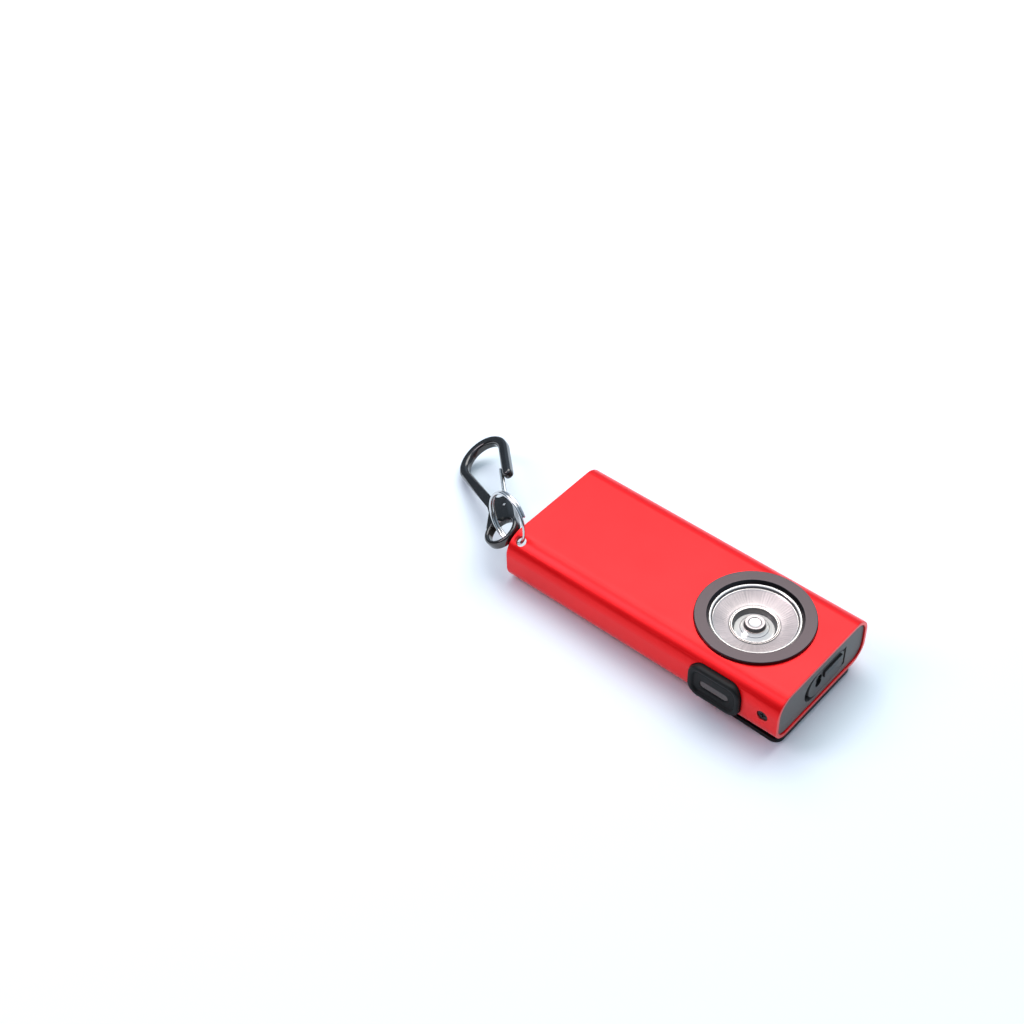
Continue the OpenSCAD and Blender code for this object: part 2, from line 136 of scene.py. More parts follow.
def make_piece(name, verts, faces, body=None, slot=None, stands_for=(), face_slots=None):
    """A mesh piece from vertices in millimetres. A cutter has no body.

    face_slots gives each face's material index.
    """
    mesh = bpy.data.meshes.new(name)
    mesh.from_pydata([tuple(Vector(v) * MM) for v in verts], [], faces)
    if face_slots:
        mesh.polygons.foreach_set("material_index", face_slots)
    bm = bmesh.new()
    bm.from_mesh(mesh)
    bmesh.ops.remove_doubles(bm, verts=bm.verts, dist=1e-7)
    bmesh.ops.recalc_face_normals(bm, faces=bm.faces)
    bm.to_mesh(mesh)
    bm.free()
    mesh.shade_smooth()
    piece = bpy.data.objects.new(name, mesh)
    bpy.context.scene.collection.objects.link(piece)
    if body:
        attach(piece, body)
        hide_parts(*stands_for)
    return piece


def loft(rings, caps=True, closed=False):
    """Vertices and faces of a skin through rings of equal length."""
    n = len(rings[0])
    count = len(rings)
    verts = [p for ring in rings for p in ring]
    faces = []
    for i in range(count if closed else count - 1):
        a, b = i * n, ((i + 1) % count) * n
        faces += [(a + j, a + (j + 1) % n, b + (j + 1) % n, b + j) for j in range(n)]
    if caps and not closed:
        faces.append(tuple(range(n)))
        faces.append(tuple(range((count - 1) * n, count * n)))
    return verts, faces


def circle_ring(centre, r, z, segments):
    """Points round a level circle."""
    step = 2 * math.pi / segments
    return [
        (centre.x + r * math.cos(i * step), centre.y + r * math.sin(i * step), z)
        for i in range(segments)
    ]


def rounded_outline(corners, steps):
    """Points round a shape whose corners are (u, v, radius, start angle) quarter circles."""
    points = []
    for u, v, r, start in corners:
        for i in range(steps + 1):
            a = math.radians(start + 90 * i / steps)
            points.append((u + r * math.cos(a), v + r * math.sin(a)))
    return points


def section_outline(inset):
    """The sleeve's cross-section in Y and Z, shrunk all round."""
    top_y, top_z = half_w - TOP_R, body_h - TOP_R
    low_y, low_z = half_w - BOTTOM_R, BOTTOM_R
    return rounded_outline(
        [
            (top_y, top_z, TOP_R - inset, 0),
            (-top_y, top_z, TOP_R - inset, 90),
            (-low_y, low_z, BOTTOM_R - inset, 180),
            (low_y, low_z, BOTTOM_R - inset, 270),
        ],
        20,
    )


def rect_outline(centre, size, r, inset=0.0):
    """A rectangle with round corners, shrunk all round."""
    u, v = size[0] / 2 - r, size[1] / 2 - r
    r = r - inset
    corners = [(u, v, r, 0), (-u, v, r, 90), (-u, -v, r, 180), (u, -v, r, 270)]
    return [(centre[0] + a, centre[1] + b) for a, b in rounded_outline(corners, 12)]


def prism(outline, back_y, front_y):
    """Vertices and faces of an outline in X and Z, drawn out from one Y to another."""
    return loft([[(u, y, v) for u, v in outline] for y in (back_y, front_y)])


def pad(centre, size, r, profile):
    """Vertices and faces of a pad on the button's side, from its (inset, y) points."""
    return loft([[(u, y, v) for u, v in rect_outline(centre, size, r, inset)] for inset, y in profile])


def middle_xz(low, high):
    """The middle of a box in X and Z."""
    return ((low.x + high.x) / 2, (low.z + high.z) / 2)


def quarter(r, steps=4):
    """(along, inwards) offsets of a quarter-round edge of radius r."""
    angles = [math.radians(90 * i / steps) for i in range(steps + 1)]
    return [(r * (1 - math.sin(a)), r * (1 - math.cos(a))) for a in angles]


def carve(piece, cutters):
    """Takes the cutters out of piece. The cut faces get the cutters' materials."""
    for cutter in cutters:
        cut = piece.modifiers.new("cut", "BOOLEAN")
        cut.object = cutter
        cut.operation = "DIFFERENCE"
        cut.solver = "EXACT"
        cut.material_mode = "TRANSFER"
    graph = bpy.context.evaluated_depsgraph_get()
    graph.update()
    carved = bpy.data.meshes.new_from_object(piece.evaluated_get(graph))
    piece.modifiers.clear()
    piece.data = carved
    for cutter in cutters:
        bpy.data.objects.remove(cutter)


def even_shading(piece):
    weights = piece.modifiers.new("even_shading", "WEIGHTED_NORMAL")
    weights.keep_sharp = True
    weights.weight = 80


def soften(piece, width, segments, angle):
    """Rounds the piece's edges that turn by more than angle, in degrees."""
    bevel = piece.modifiers.new("soft_edges", "BEVEL")
    bevel.width = width * MM
    bevel.segments = segments
    bevel.limit_method = "ANGLE"
    bevel.angle_limit = math.radians(angle)
    bevel.harden_normals = False
    even_shading(piece)


def refined(node, body, width, material, segments=3, angle=35):
    """A finer copy of a CAD node, with its edges rounded."""
    source = frame["nodes"][node].data
    mesh = source.copy()
    mesh.name = node + "_fine"
    bm = bmesh.new()
    bm.from_mesh(mesh)
    bmesh.ops.remove_doubles(bm, verts=bm.verts, dist=2e-6)
    bmesh.ops.dissolve_limit(bm, angle_limit=math.radians(0.5), verts=bm.verts, edges=bm.edges)
    bmesh.ops.recalc_face_normals(bm, faces=bm.faces)
    bm.to_mesh(mesh)
    bm.free()
    mesh.shade_smooth()
    piece = bpy.data.objects.new(node + "_fine", mesh)
    bpy.context.scene.collection.objects.link(piece)
    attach(piece, body)
    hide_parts(node)
    paint(piece, material)
    soften(piece, width, segments, angle)
    return piece


def paint(piece, *materials):
    """Gives the piece its materials. Clearing an empty list would reset the faces' material indices."""
    if piece.data.materials:
        piece.data.materials.clear()
    for material in materials:
        piece.data.materials.append(material)


# ---- Materials ----

# The radius in metres at which the spokes pattern has its true scale.
SPOKE_RADIUS = 0.008


def add_node(tree, kind, inputs=None, **settings):
    node = tree.nodes.new(kind)
    for key, value in settings.items():
        setattr(node, key, value)
    for key, value in (inputs or {}).items():
        socket = node.inputs[key]
        if isinstance(value, bpy.types.NodeSocket):
            tree.links.new(value, socket)
        else:
            socket.default_value = value
    return node


def maths(tree, operation, a, b=0.0):
    return add_node(tree, "ShaderNodeMath", {0: a, 1: b}, operation=operation).outputs[0]


def pattern_vector(tree, pattern, centre):
    """Where the fine texture is read.

    grain is plain space, brushed is stretched one way, rings is the distance from the centre's
    upright axis and spokes is the angle round it.
    """
    place = add_node(tree, "ShaderNodeTexCoord").outputs["Object"]
    if pattern == "grain":
        return place
    if pattern.startswith("brushed"):
        stretch = {"x": (0.03, 1, 1), "y": (1, 0.03, 1), "z": (1, 1, 0.03)}[pattern[-1]]
        return add_node(tree, "ShaderNodeMapping", {"Vector": place, "Scale": stretch}).outputs[0]
    offset = add_node(
        tree, "ShaderNodeVectorMath", {0: place, 1: tuple(-c * MM for c in centre)}, operation="ADD"
    ).outputs[0]
    parts = add_node(tree, "ShaderNodeSeparateXYZ", {0: offset}).outputs
    x, y, z = parts[0], parts[1], parts[2]
    if pattern == "rings":
        square_x = maths(tree, "MULTIPLY", x, x)
        square_y = maths(tree, "MULTIPLY", y, y)
        reach = maths(tree, "SQRT", maths(tree, "ADD", square_x, square_y))
        rise = maths(tree, "MULTIPLY", z, 0.3)
        return add_node(tree, "ShaderNodeCombineXYZ", {0: reach, 1: rise}).outputs[0]
    angle = maths(tree, "ARCTAN2", y, x)
    along = maths(tree, "MULTIPLY", angle, SPOKE_RADIUS)
    return add_node(tree, "ShaderNodeCombineXYZ", {0: along}).outputs[0]


def surface(name, color, rough, metallic=0.0, pattern="grain", centre=(0, 0, 0), grain=6000.0, bump=0.15,
            depth=0.02, blotch=120.0, tint=0.06, rough_spread=0.06, coat=0.0, coat_rough=0.1, gloss=0.5):
    """A material with soft colour variation, uneven roughness and a fine bump pattern.

    grain and blotch are texture scales per metre; depth is the bump's height in millimetres.
    """
    material = bpy.data.materials.new(name)
    material.use_nodes = True
    tree = material.node_tree
    shader = tree.nodes["Principled BSDF"]
    place = add_node(tree, "ShaderNodeTexCoord").outputs["Object"]
    soft = add_node(tree, "ShaderNodeTexNoise", {"Vector": place, "Scale": blotch, "Detail": 4.0}).outputs[0]
    fine = add_node(
        tree,
        "ShaderNodeTexNoise",
        {"Vector": pattern_vector(tree, pattern, centre), "Scale": grain, "Detail": 3.0, "Roughness": 0.6},
    ).outputs[0]
    dark = tuple(c * (1 - tint) for c in color) + (1.0,)
    light = tuple(min(1.0, c * (1 + tint)) for c in color) + (1.0,)
    mixed = maths(tree, "ADD", maths(tree, "MULTIPLY", soft, 0.65), maths(tree, "MULTIPLY", fine, 0.35))
    ramp = add_node(tree, "ShaderNodeValToRGB", {0: mixed})
    ramp.color_ramp.elements[0].position = 0.35
    ramp.color_ramp.elements[0].color = dark
    ramp.color_ramp.elements[1].position = 0.65
    ramp.color_ramp.elements[1].color = light
    uneven = add_node(
        tree,
        "ShaderNodeMapRange",
        {0: mixed, 1: 0.3, 2: 0.7, 3: max(0.0, rough - rough_spread), 4: min(1.0, rough + rough_spread)},
    ).outputs[0]
    relief = add_node(
        tree, "ShaderNodeBump", {"Strength": bump, "Distance": depth * MM, "Height": fine}
    ).outputs[0]
    tree.links.new(ramp.outputs[0], shader.inputs["Base Color"])
    tree.links.new(uneven, shader.inputs["Roughness"])
    tree.links.new(relief, shader.inputs["Normal"])
    shader.inputs["Metallic"].default_value = metallic
    shader.inputs["Coat Weight"].default_value = coat
    shader.inputs["Coat Roughness"].default_value = coat_rough
    shader.inputs["Specular IOR Level"].default_value = gloss
    return material


red = surface("anodised_red", (0.90, 0.002, 0.004), 0.32, 0.4, grain=9000, bump=0.22, depth=0.012, tint=0.03,
              rough_spread=0.04, gloss=0.38)
# Painted highlight: a lighter, more metallic red for the sleeve's end rims and the walls of its button, ring and
# screw holes.
rim_painted_highlight = surface("anodised_rim_painted_highlight", (0.90, 0.06, 0.055), 0.32, 0.75, pattern="brushed_y", grain=9000, bump=0.3)
bezel_metal = surface("bezel_metal", (0.074, 0.057, 0.059), 0.32, 0.9, pattern="rings", centre=head,
                      grain=14000, bump=0.35, depth=0.01, tint=0.10)
bezel_gloss = surface("bezel_gloss", (0.05, 0.045, 0.047), 0.14, 0.9, pattern="rings", centre=head,
                      grain=9000, bump=0.1, depth=0.004, tint=0.10, rough_spread=0.03)
optic_frost = surface("optic_frost", (0.64, 0.535, 0.50), 0.34, 0.4, pattern="spokes", centre=head,
                      grain=1500, bump=0.6, depth=0.03, tint=0.20, coat=0.5, coat_rough=0.05)
optic_clear = surface("optic_clear", (0.88, 0.76, 0.68), 0.10, 0.85, pattern="rings", centre=head, grain=2500,
                      bump=0.06, depth=0.01, tint=0.05, rough_spread=0.03, coat=1.0, coat_rough=0.03)
# Painted shade: the dark of the lens's well walls and thin lines.
optic_painted_shade = surface("optic_painted_shade", (0.105, 0.100, 0.098), 0.24, 0.3, pattern="rings", centre=head, grain=2500,
                     bump=0.06, depth=0.01, tint=0.10, rough_spread=0.03, gloss=0.3)
# Painted highlight: the white of the lens's post top, the rings on its well floor and its outer rim's top.
optic_painted_highlight = surface("optic_painted_highlight", (0.90, 0.85, 0.78), 0.12, 0.2, pattern="rings", centre=head, grain=2500,
                     bump=0.05, depth=0.01, tint=0.06, rough_spread=0.03, coat=1.0, coat_rough=0.02)
cap_plastic = surface("cap_plastic", (0.116, 0.102, 0.092), 0.5, 0.0, grain=7000, bump=0.35, depth=0.02,
                      tint=0.10)
cover_rubber = surface("cover_rubber", (0.082, 0.076, 0.071), 0.48, 0.0, grain=6000, bump=0.3, depth=0.02,
                       tint=0.12, gloss=0.4)
# Painted shade for the port cover's bar and pit.
cover_painted_shade = surface("cover_painted_shade", (0.012, 0.012, 0.012), 0.34, 0.0, grain=6000, bump=0.3, depth=0.02,
                     tint=0.12, gloss=0.3)
button_rubber = surface("button_rubber", (0.011, 0.011, 0.0105), 0.42, 0.0, grain=6500, bump=0.35, depth=0.02,
                        tint=0.15, gloss=0.12)
window_smoke = surface("window_smoke", (0.105, 0.084, 0.078), 0.28, 0.0, grain=4000, bump=0.1, tint=0.12,
                       gloss=0.25)
black_rubber = surface("black_rubber", (0.015, 0.015, 0.016), 0.6, grain=5000, bump=0.3, tint=0.15)
clip_coat = surface("clip_coat", (0.005, 0.005, 0.005), 0.36, 0.0, grain=7000, bump=0.4, depth=0.02,
                    tint=0.15, gloss=0.16)
screw_oxide = surface("screw_oxide", (0.005, 0.005, 0.005), 0.45, 0.3, grain=8000, bump=0.3, tint=0.2)
ring_metal = surface("ring_metal", (0.62, 0.61, 0.60), 0.16, 1.0, grain=5000, bump=0.12, depth=0.01,
                     tint=0.06)
hook_metal = surface("hook_nickel", (0.085, 0.080, 0.076), 0.15, 0.95, grain=5000, bump=0.2, depth=0.012,
                     tint=0.15, rough_spread=0.06, coat=0.3, coat_rough=0.06)
gate_wire = surface("gate_wire", (0.60, 0.59, 0.57), 0.18, 1.0, grain=4000, bump=0.12, depth=0.01, tint=0.08)

INSIDE = {
    "white_plastic": surface("white_plastic", (0.78, 0.78, 0.75), 0.5, bump=0.2, tint=0.05),
    "led_phosphor": surface("led_phosphor", (0.85, 0.70, 0.12), 0.35, bump=0.2, tint=0.08, coat=0.6),
    "board_green": surface("board_green", (0.02, 0.11, 0.045), 0.32, pattern="brushed_x", grain=1500,
                           bump=0.2, tint=0.25),
    "star_aluminium": surface("star_aluminium", (0.70, 0.71, 0.72), 0.3, 1.0, pattern="brushed_x", bump=0.2),
    "component_black": surface("component_black", (0.03, 0.03, 0.03), 0.55, bump=0.3, tint=0.2),
    "socket_steel": surface("socket_steel", (0.60, 0.60, 0.60), 0.28, 1.0, pattern="brushed_x", bump=0.2),
    "chassis_black": surface("chassis_black", (0.03, 0.03, 0.032), 0.5, bump=0.3, tint=0.15),
    "cell_foil": surface("cell_foil", (0.66, 0.67, 0.68), 0.38, 0.9, grain=900, bump=0.5, depth=0.1),
    "tape_amber": surface("tape_amber", (0.55, 0.28, 0.03), 0.25, bump=0.1, coat=0.5),
    "foam_black": surface("foam_black", (0.03, 0.03, 0.03), 0.9, grain=2500, bump=0.9, depth=0.15, tint=0.3),
    "lead_red": surface("lead_red", (0.50, 0.02, 0.02), 0.45, bump=0.1, tint=0.1),
    "cap_grey": cap_plastic,
    "black_rubber": black_rubber,
}


# ---- Sleeve ----


def tube_places(edge, lip):
    """(x, inset) round the wall of the tube: outside, over the tail, back inside, over the front."""
    outside = quarter(edge)
    inside = quarter(lip)
    return (
        [(front_x - a, b) for a, b in outside[::-1]]
        + [(tail_x + a, b) for a, b in outside]
        + [(tail_x + a, WALL - b) for a, b in inside[::-1]]
        + [(front_x - a, WALL - b) for a, b in inside]
    )


def sleeve():
    """The red tube, with holes for the head, button, ring and screws. A painted highlight, a lighter red, lies on
    the rim at both ends and on the walls of the button, ring and screw holes.
    """
    places = tube_places(0.16, 0.08)
    rings = [[(x, y, z) for y, z in section_outline(inset)] for x, inset in places]
    verts, faces = loft(rings, closed=True)
    piece = make_piece("sleeve_shell", verts, faces, "body", "anodised_red", ["sleeve"])
    # Faces on the two end rims get the painted highlight.
    for face in piece.data.polygons:
        at_end = abs(abs(face.center.x / MM) - front_x) < 0.12
        face.material_index = 1 if at_end else 0
    paint(piece, red, rim_painted_highlight)
    carve(piece, [bezel_seat_cutter(), button_cutter(), lanyard_cutter()] + screw_cutters())
    even_shading(piece)


def lathe(name, profile, centre, segments, body=None, slot=None, stands_for=()):
    """A turned piece from the (radius, height) points of its closed profile."""
    rings = [circle_ring(centre, r, z, segments) for r, z in profile]
    return make_piece(name, *loft(rings, closed=True), body, slot, stands_for)


def bezel_seat_cutter():
    """The stepped hole in the sleeve's top that the bezel sits in."""
    seat = bezel_top - SEAT_DEPTH
    bore_r = bezel_r - BEZEL_SKIRT_IN + 0.08
    step_r = bezel_r + 0.08
    profile = [
        (AXIS_R, body_h - 2),
        (bore_r, body_h - 2),
        (bore_r, seat),
        (step_r, seat),
        (step_r, body_h + 1),
        (AXIS_R, body_h + 1),
    ]
    cutter = lathe("seat_cut", profile, head, 192)
    paint(cutter, red)
    return cutter


def button_cutter():
    """The hole in the sleeve's side that the button stands in."""
    centre = middle_xz(button_low, button_high)
    outline = rect_outline(centre, BUTTON_SIZE, BUTTON_CORNER, -BUTTON_GAP)
    cutter = make_piece("button_cut", *prism(outline, -half_w - 1, -half_w + 2.4))
    # The hole's wall gets the painted highlight.
    paint(cutter, rim_painted_highlight)
    return cutter


def turned_cutter(name, profile, place, turn, material):
    cutter = lathe(name, profile, Vector((0, 0, 0)), 64)
    cutter.data.transform(Matrix.Translation(place * MM) @ turn)
    paint(cutter, material)
    return cutter


def lanyard_cutter():
    flare = 0.22
    profile = [
        (AXIS_R, -1.6),
        (LANYARD_R, -1.6),
        (LANYARD_R, -flare - 0.12),
        (LANYARD_R + 0.06, -flare + 0.06),
        (LANYARD_R + flare, 0.0),
        (LANYARD_R + 2 * flare, flare),
        (LANYARD_R + 2 * flare, 1.4),
        (AXIS_R, 1.4),
    ]
    # The hole's wall gets the painted highlight.
    return turned_cutter("lanyard_cut", profile, LANYARD, Matrix.Rotation(LANYARD_TILT, 4, "X"), rim_painted_highlight)


def screw_cutters():
    r = (screw_high.x - screw_low.x) / 2 + 0.1
    centre = (screw_low + screw_high) / 2
    profile = [(AXIS_R, -1.4), (r, -1.4), (r, -0.08), (r + 0.1, 0.02), (r + 0.1, 1), (AXIS_R, 1)]
    cutters = []
    for side in (-1, 1):
        place = Vector((centre.x, side * half_w, centre.z))
        turn = Matrix.Rotation(-side * math.pi / 2, 4, "X")
        # The holes' walls get the painted highlight.
        cutters.append(turned_cutter(f"screw_cut_{side}", profile, place, turn, rim_painted_highlight))
    return cutters


# ---- Light head ----

# The lens's materials. In its profile, each point names the material of the band that ends there. The dark bands
# on the walls of the well, the post and the outer rim, and the thin dark lines, are painted shade. The white bands
# on the post's top, the well's floor and the outer rim's top are painted highlight. Together they copy what is
# seen through the clear lens from one side.
FROST, CLEAR, PAINTED_SHADE, PAINTED_HIGHLIGHT = range(4)

# The shallow ribs on the frosted slope: how many, how high, and how far in from its edges they fade.
RIBS = 80
RIB_H = 0.022
RIB_FADE = 0.4


def rounded_profile(points, r, steps=4):
    """The profile with each corner rounded by up to r."""
    out = []
    n = len(points)
    for i in range(n):
        before, here, after = (Vector(points[(i + k) % n]) for k in (-1, 0, 1))
        to_before, to_after = before - here, after - here
        cut = min(r, to_before.length * 0.45, to_after.length * 0.45)
        a, b = here + to_before.normalized() * cut, here + to_after.normalized() * cut
        for k in range(steps + 1):
            t = k / steps
            out.append(tuple((1 - t) ** 2 * a + 2 * t * (1 - t) * here + t**2 * b))
    return out


def bezel():
    """The ring round the lens. Only its flat top is brushed; the rest is glossy."""
    top, seat = bezel_top, bezel_top - SEAT_DEPTH
    profile = rounded_profile(
        [
            (bezel_r - BEZEL_FACE_IN, top),
            (bezel_r - 0.12, top),
            (bezel_r, top - 0.12),
            (bezel_r, seat),
            (bezel_r - BEZEL_SKIRT_IN, seat),
            (bezel_r - BEZEL_SKIRT_IN, bezel_low.z),
            (bezel_r - BEZEL_BORE_IN, bezel_low.z),
            (bezel_r - BEZEL_BORE_IN, seat + 0.05),
            (bezel_r - BEZEL_LIP_IN, seat + 0.05),
            (bezel_r - BEZEL_LIP_IN, seat + 0.38),
        ],
        0.06,
    )
    piece = lathe("bezel_ring", profile, head, 256, "body", "bezel_metal", ["bezel"])
    for face in piece.data.polygons:
        face.material_index = 0 if abs(face.normal.z) > 0.95 and face.center.z > (top - 0.2) * MM else 1
    paint(piece, bezel_metal, bezel_gloss)
    even_shading(piece)


def ribbed(r, z, angle, start, stop):
    """Height of the optic's frosted slope, with shallow ribs that fade at its edges."""
    if not start < r < stop:
        return z
    fade = min(1.0, (r - start) / RIB_FADE, (stop - r) / RIB_FADE)
    return z + RIB_H * fade * math.cos(RIBS * angle)


def optic():
    """The moulded lens: a post in a well, a rim, a ribbed frosted slope and an outer rim. Its dark bands, the
    well's wall among them, are painted shade, and its white bands are painted highlight.
    """
    frost_in, frost_out = 5.05, 8.05
    frost_low, frost_rise = 9.62, 1.28
    low = lens_low.z
    flange_r = lens_high.x - head.x
    profile = [
        (0.0, 10.22, PAINTED_HIGHLIGHT), (0.8, 10.25, PAINTED_HIGHLIGHT), (1.16, 10.32, PAINTED_HIGHLIGHT), (1.22, 10.36, PAINTED_SHADE),
        (1.26, 10.4, PAINTED_SHADE), (1.32, 10.44, FROST), (1.84, 10.54, FROST), (1.93, 10.48, FROST),
        (1.98, 10.38, PAINTED_SHADE), (2.1, 9.66, PAINTED_SHADE), (2.18, 9.5, CLEAR), (2.4, 9.3, PAINTED_HIGHLIGHT),
        (2.75, 9.08, PAINTED_HIGHLIGHT), (2.82, 9.05, PAINTED_SHADE), (2.88, 9.0, CLEAR), (3.3, 8.7, PAINTED_HIGHLIGHT), (3.9, 8.46, PAINTED_HIGHLIGHT),
        (4.04, 8.44, PAINTED_SHADE), (4.1, 8.48, PAINTED_SHADE), (4.36, 9.66, PAINTED_SHADE), (4.42, 9.72, CLEAR),
        (4.56, 9.72, CLEAR), (4.6, 9.62, FROST), (4.68, 9.58, PAINTED_SHADE), (4.74, 9.68, CLEAR),
        (4.86, 9.72, CLEAR), (4.9, 9.62, PAINTED_SHADE), (5.0, 9.56, PAINTED_SHADE), (frost_in, frost_low, FROST),
    ]
    steps = 14
    for i in range(1, steps + 1):
        t = i / steps
        r = frost_in + t * (frost_out - frost_in)
        profile.append((r, frost_low + frost_rise * t**1.15, FROST))
    profile += [
        (8.14, 11.0, PAINTED_HIGHLIGHT), (8.2, 11.0, CLEAR), (8.24, 11.02, PAINTED_SHADE), (8.44, 11.42, PAINTED_SHADE),
        (8.5, 11.48, CLEAR), (8.62, 11.56, PAINTED_HIGHLIGHT), (8.8, 11.64, PAINTED_HIGHLIGHT), (8.86, 11.6, CLEAR),
        (8.86, 11.0, CLEAR), (flange_r, 10.95, CLEAR), (flange_r, 10.2, CLEAR),
        (8.3, 10.2, CLEAR), (2.9, low, CLEAR), (0.0, low, CLEAR),
    ]
    segments = 480
    rings = []
    for r, z, _ in profile:
        ring = []
        for i in range(segments):
            a = 2 * math.pi * i / segments
            height = ribbed(r, z, a, frost_in, frost_out)
            ring.append((head.x + r * math.cos(a), head.y + r * math.sin(a), height))
        rings.append(ring)
    verts, faces = loft(rings, caps=False)
    slots = [profile[i // segments + 1][2] for i in range(len(faces))]
    piece = make_piece("lens_optic", verts, faces, "body", "lens_optic", ["lens"], slots)
    paint(piece, optic_frost, optic_clear, optic_painted_shade, optic_painted_highlight)


# ---- Button ----


def button():
    """The rubber pad: a rounded rim round a sunk face, with a slot for the window."""
    front = button_low.y
    profile = [
        (0.0, BUTTON_BACK), (0.0, front + 0.55), (0.05, front + 0.3), (0.18, front + 0.1), (0.4, front),
        (0.75, front), (0.98, front + 0.06), (1.18, front + 0.22), (1.3, front + 0.4), (1.42, front + 0.5),
    ]
    shape = pad(middle_xz(button_low, button_high), BUTTON_SIZE, BUTTON_CORNER, profile)
    piece = make_piece("button_pad", *shape, "button", "button_rubber", ["button_cap"])
    paint(piece, button_rubber)
    size = window_high - window_low
    centre = middle_xz(window_low, window_high)
    hole = rect_outline(centre, (size.x + 0.1, size.z + 0.1), size.z / 2 + 0.05)
    cutter = make_piece("window_cut", *prism(hole, front - 1, front + 1.6))
    paint(cutter, button_rubber)
    carve(piece, [cutter])
    even_shading(piece)


def window():
    """The smoked bar in the button's face."""
    size = window_high - window_low
    front = window_low.y
    profile = [(0.0, window_high.y), (0.0, front + 0.12), (0.05, front + 0.03), (0.14, front)]
    shape = pad(middle_xz(window_low, window_high), (size.x, size.z), size.z / 2 - 0.001, profile)
    piece = make_piece("window_bar", *shape, "button", "window_smoke", ["indicator_window"])
    paint(piece, window_smoke)
    even_shading(piece)


# ---- Ring ----


def ring_layer(a):
    """Which side of the ring's middle plane the wire lies on at angle a, in millimetres."""
    s = (a - CROSSOVER[0]) / (CROSSOVER[1] - CROSSOVER[0])
    side = -1 if s <= 0 else 1 if s >= 1 else -math.cos(math.pi * s)
    return side * WIRE_D / 2


def split_ring():
    """The coiled wire, with its two ends turned in."""
    turn = 360 - (CROSSOVER[1] - CROSSOVER[0]) - END_GAP
    first, last = CROSSOVER[0] - turn, CROSSOVER[1] + turn
    steps, sides = 220, 20
    rx, ry, rz = (math.radians(a) for a in RING_TURN)
    lay = Matrix.Rotation(rz, 4, "Z") @ Matrix.Rotation(ry, 4, "Y") @ Matrix.Rotation(rx, 4, "X")
    rings = []
    for i in range(-2, steps + 3):
        a = first + (last - first) * min(max(i, 0), steps) / steps
        shrink = {-2: 0.55, -1: 0.9, steps + 1: 0.9, steps + 2: 0.55}.get(i, 1.0)
        push = {-2: -0.09, -1: -0.04, steps + 1: 0.04, steps + 2: 0.09}.get(i, 0.0)
        ring = []
        for j in range(sides):
            b = 2 * math.pi * j / sides
            r = RING_R + shrink * WIRE_D / 2 * math.cos(b)
            z = ring_layer(a) + shrink * WIRE_D / 2 * math.sin(b)
            t = math.radians(a) + push / RING_R
            ring.append(RING_CENTRE + lay @ Vector((r * math.cos(t), r * math.sin(t), z)))
        rings.append(ring)
    piece = make_piece("ring_wire", *loft(rings), "ring", "ring_chrome", ["split_ring"])
    paint(piece, ring_metal)


# ---- Port cover ----


def port_cover():
    """The rubber cover. Its bar and the two-lobed pit beside it are painted darker than its plate, as painted
    shade.
    """
    piece = refined("port_cover", "port_cover", 0.16, cover_rubber, 4)
    low, high = box_mm("port_cover")
    plate_x = high.x - COVER_BAR_H
    middle_z = (low.z + high.z) / 2
    lobes = [(low.y + PIT_FROM_END, middle_z + up) for up in PIT_LOBES]
    # Faces of the bar and of the pit get the painted shade.
    for face in piece.data.polygons:
        x, y, z = face.center / MM
        in_pit = x < plate_x - 0.02 and min(math.dist((y, z), lobe) for lobe in lobes) < PIT_REACH
        face.material_index = 1 if in_pit or x > plate_x + 0.02 else 0
    piece.data.materials.append(cover_painted_shade)


# ---- Hook ----


def joint_named(name):
    return next(j for j in frame["joints"] if j["name"] == name)


def hook():
    """The hook with its outlines rounded: most on the loop, less on the eye, not beside the gate's slot."""
    piece = refined("hook_body", "hook", LOOP_ROUND, hook_metal, 6)
    gate = joint_named("gate_open")
    pivot, normal = Vector(gate["pos_m"]), Vector(gate["axis"]).normalized()
    eye = Vector(joint_named("hook_swing")["pos_m"])
    bm = bmesh.new()
    bm.from_mesh(piece.data)
    weight = bm.edges.layers.float.new("bevel_weight_edge")
    half_t = max(abs((v.co - pivot).dot(normal)) for v in bm.verts)
    for edge in bm.edges:
        middle = (edge.verts[0].co + edge.verts[1].co) / 2
        on_face = all(abs((v.co - pivot).dot(normal)) > 0.95 * half_t for v in edge.verts)
        tilts = sorted(abs(face.normal.dot(normal)) for face in edge.link_faces)
        reach = (middle - pivot).length / MM
        if not on_face or tilts[0] > 0.5 or tilts[-1] < 0.9 or reach < NECK_REACH:
            continue
        if (middle - eye).length / MM < EYE_REACH:
            edge[weight] = EYE_ROUND / LOOP_ROUND
        else:
            edge[weight] = 1.0
    bm.to_mesh(piece.data)
    bm.free()
    bevel = piece.modifiers["soft_edges"]
    bevel.limit_method = "WEIGHT"
    bevel.use_clamp_overlap = False


# ---- Build ----

sleeve()
bezel()
optic()
button()
window()
split_ring()
refined("front_cap", "body", 0.12, cap_plastic)
port_cover()
refined("clip_arm", "clip_arm", 0.22, clip_coat, 4, 25)
refined("clip_base", "body", 0.15, clip_coat)
refined("cap_screws", "body", 0.06, screw_oxide, 2)
refined("clip_screws", "body", 0.06, screw_oxide, 2)
hook()
refined("hook_gate", "gate", 0.02, gate_wire, 1, 60)

node_slots = {part["node"]: part["material_slot"] for part in frame["record"]["subparts"]}
replaced = {"sleeve", "bezel", "lens", "button_cap", "indicator_window", "split_ring", "front_cap",
            "port_cover", "clip_arm", "clip_base", "cap_screws", "clip_screws", "hook_body", "hook_gate"}
for name, node in frame["nodes"].items():
    if name not in replaced:
        paint(node, INSIDE[node_slots[name]])

# ---- Floor, light and camera ----

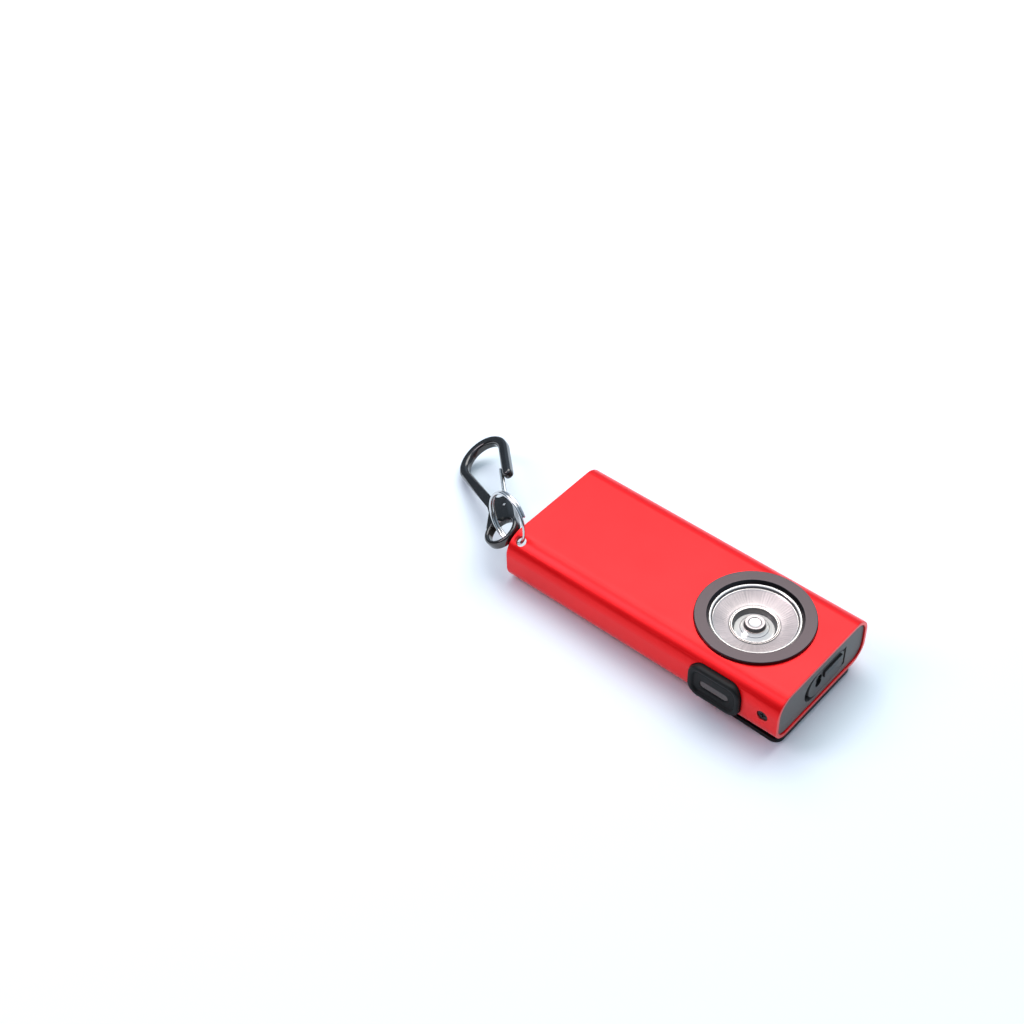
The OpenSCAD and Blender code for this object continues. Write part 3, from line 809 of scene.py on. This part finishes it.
# The flashlight rests on its tail and on the clip's front edge, so the floor slopes down to the front.
slope = clip_low.z / (clip_high.x - tail_x)
floor_mesh = bpy.data.meshes.new("floor")
reach = 3.0
floor_mesh.from_pydata([(-reach, -reach, 0), (reach, -reach, 0), (reach, reach, 0), (-reach, reach, 0)], [],
                       [(0, 1, 2, 3)])
floor = bpy.data.objects.new("floor", floor_mesh)
bpy.context.scene.collection.objects.link(floor)
floor.rotation_euler = (0, math.atan(-slope), 0)
floor.location = (0, 0, -tail_x * slope * MM)
paint(floor, surface("floor_paper", (0.78, 0.85, 0.88), 0.7, grain=900, bump=0.02, tint=0.004))


def soft_box(name, place, target, size, power, color):
    light = bpy.data.lights.new(name, "AREA")
    light.shape = "RECTANGLE"
    light.size, light.size_y = size
    light.energy = power
    light.color = color
    lamp = bpy.data.objects.new(name, light)
    bpy.context.scene.collection.objects.link(lamp)
    lamp.location = place
    lamp.rotation_euler = (Vector(target) - Vector(place)).to_track_quat("-Z", "Y").to_euler()


middle = (0.0, 0.0, 0.0)
soft_box("overhead", (-0.16, 0.30, 0.75), middle, (0.9, 0.7), 7.2, (1.0, 1.0, 1.0))
soft_box("near_side", (-0.40, -0.40, 0.60), middle, (0.30, 0.48), 2.4, (1.0, 0.86, 0.98))

# The sky is pale overhead and behind the object, and dark low down in front of it.
world = bpy.data.worlds.new("studio")
bpy.context.scene.world = world
world.use_nodes = True
sky = world.node_tree.nodes["Background"]
way = add_node(world.node_tree, "ShaderNodeTexCoord").outputs["Generated"]
along = add_node(world.node_tree, "ShaderNodeSeparateXYZ", {0: way}).outputs
height = maths(world.node_tree, "ADD", along[2], maths(world.node_tree, "MULTIPLY", along[1], 0.4))
fade = add_node(world.node_tree, "ShaderNodeValToRGB", {0: height})
fade.color_ramp.elements[0].position = 0.10
fade.color_ramp.elements[0].color = (0.07, 0.08, 0.10, 1.0)
fade.color_ramp.elements[1].position = 0.55
fade.color_ramp.elements[1].color = (0.50, 0.66, 0.84, 1.0)
world.node_tree.links.new(fade.outputs[0], sky.inputs["Color"])
sky.inputs["Strength"].default_value = 0.75

CAMERA_PLACE = Vector((134.40, -195.75, 262.98)) * MM
CAMERA_TARGET = Vector((-41.4, -3.9, 6.0)) * MM
CAMERA_ROLL = math.radians(-1.93)
camera_data = bpy.data.cameras.new("camera")
camera_data.lens = 61.74
camera_data.sensor_width = 36.0
camera = bpy.data.objects.new("camera", camera_data)
bpy.context.scene.collection.objects.link(camera)
aim = (CAMERA_TARGET - CAMERA_PLACE).to_track_quat("-Z", "Y").to_matrix().to_4x4()
camera.matrix_world = Matrix.Translation(CAMERA_PLACE) @ aim @ Matrix.Rotation(CAMERA_ROLL, 4, "Z")
bpy.context.scene.camera = camera

scene = bpy.context.scene
scene.view_settings.view_transform = "Standard"
scene.view_settings.look = "None"
